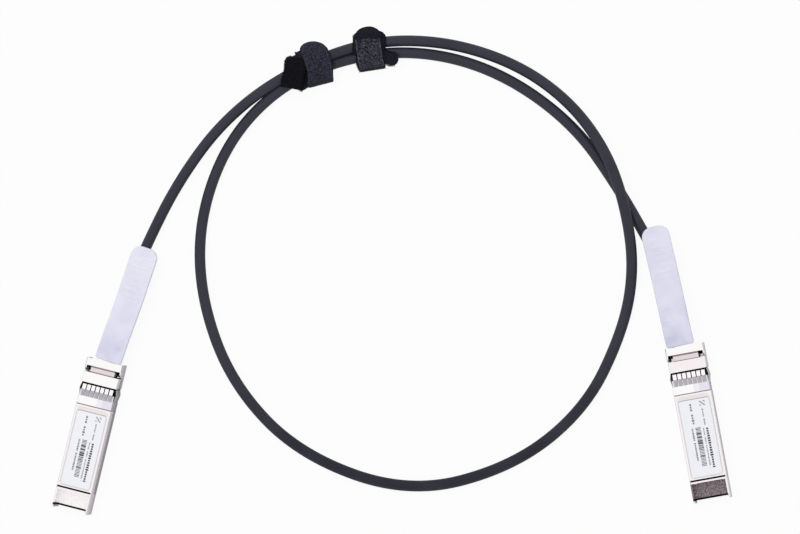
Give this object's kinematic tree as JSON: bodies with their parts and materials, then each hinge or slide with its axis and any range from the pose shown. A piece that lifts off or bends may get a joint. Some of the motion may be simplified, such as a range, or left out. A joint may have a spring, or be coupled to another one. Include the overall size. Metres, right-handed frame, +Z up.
{
  "type": "direct attach copper cable",
  "caption": "Round twinax cable in a loop held by hook-and-loop ties, with a pluggable metal module, spring-finger collar and sliding pull-tab release at each end.",
  "frame": {"origin": "middle of the modules, pull tabs and ties seen from above, at the surface that they lie on", "axes": "+X from the left module to the right one, +Y from the modules' host ends towards the top of the loop, +Z up from the surface"},
  "size_m": [0.2497, 0.1786, 0.0089],
  "materials": {
    "die_cast_tray": "fine-grained nickel plate on die-cast zinc",
    "die_cast_lid": "fine-grained nickel plate on die-cast zinc, sandblasted in the hood",
    "spring_collar": "bright stamped spring steel",
    "circuit_board": "green solder mask on glass laminate",
    "gold_contacts": "gold plate",
    "board_parts": "moulded black chip and small grey-brown capacitors",
    "core_jackets": "foil-wrapped twin cores with bare silvered ends",
    "screw_steel": "bright zinc plate",
    "yoke_steel": "bright sheet steel",
    "spring_steel": "bright spring wire",
    "pull_tab": "soft pale grey-lilac moulding",
    "label": "coated label with plain grey fields and bars",
    "ferrule": "crimped and satin",
    "cable_jacket": "satin charcoal jacket",
    "left_tie_strap": "black hook-and-loop pile",
    "right_tie_strap": "black hook-and-loop pile"
  },
  "bodies": {
    "cable_and_modules": {"left_lower_shell": "die_cast_tray", "left_upper_cover": "die_cast_lid", "left_emi_collar": "spring_collar", "left_circuit_board": "circuit_board", "left_contact_pads": "gold_contacts", "left_board_parts": "board_parts", "left_twinax_cores": "core_jackets", "left_shell_screws": "screw_steel", "left_release_springs": "spring_steel", "left_label": "label", "left_crimp_ferrule": "ferrule", "right_lower_shell": "die_cast_tray", "right_upper_cover": "die_cast_lid", "right_emi_collar": "spring_collar", "right_circuit_board": "circuit_board", "right_contact_pads": "gold_contacts", "right_board_parts": "board_parts", "right_twinax_cores": "core_jackets", "right_shell_screws": "screw_steel", "right_release_springs": "spring_steel", "right_label": "label", "right_crimp_ferrule": "ferrule", "cable": "cable_jacket", "left_tie": "left_tie_strap", "right_tie": "right_tie_strap"},
    "left_release": {"left_release_yoke": "yoke_steel", "left_pull_tab": "pull_tab"},
    "right_release": {"right_release_yoke": "yoke_steel", "right_pull_tab": "pull_tab"}
  },
  "joints": [
    {"name": "left_release_slide", "type": "slide", "parent": "cable_and_modules", "child": "left_release", "axis": [0.2368, 0.9715, 0], "range_m": [0, 0.002], "stiffness_N_per_m": 400, "springref_m": -0.001, "deforming": ["left_release_springs"]},
    {"name": "right_release_slide", "type": "slide", "parent": "cable_and_modules", "child": "right_release", "axis": [-0.1805, 0.9836, 0], "range_m": [0, 0.002], "stiffness_N_per_m": 400, "springref_m": -0.001, "deforming": ["right_release_springs"]}
  ]
}
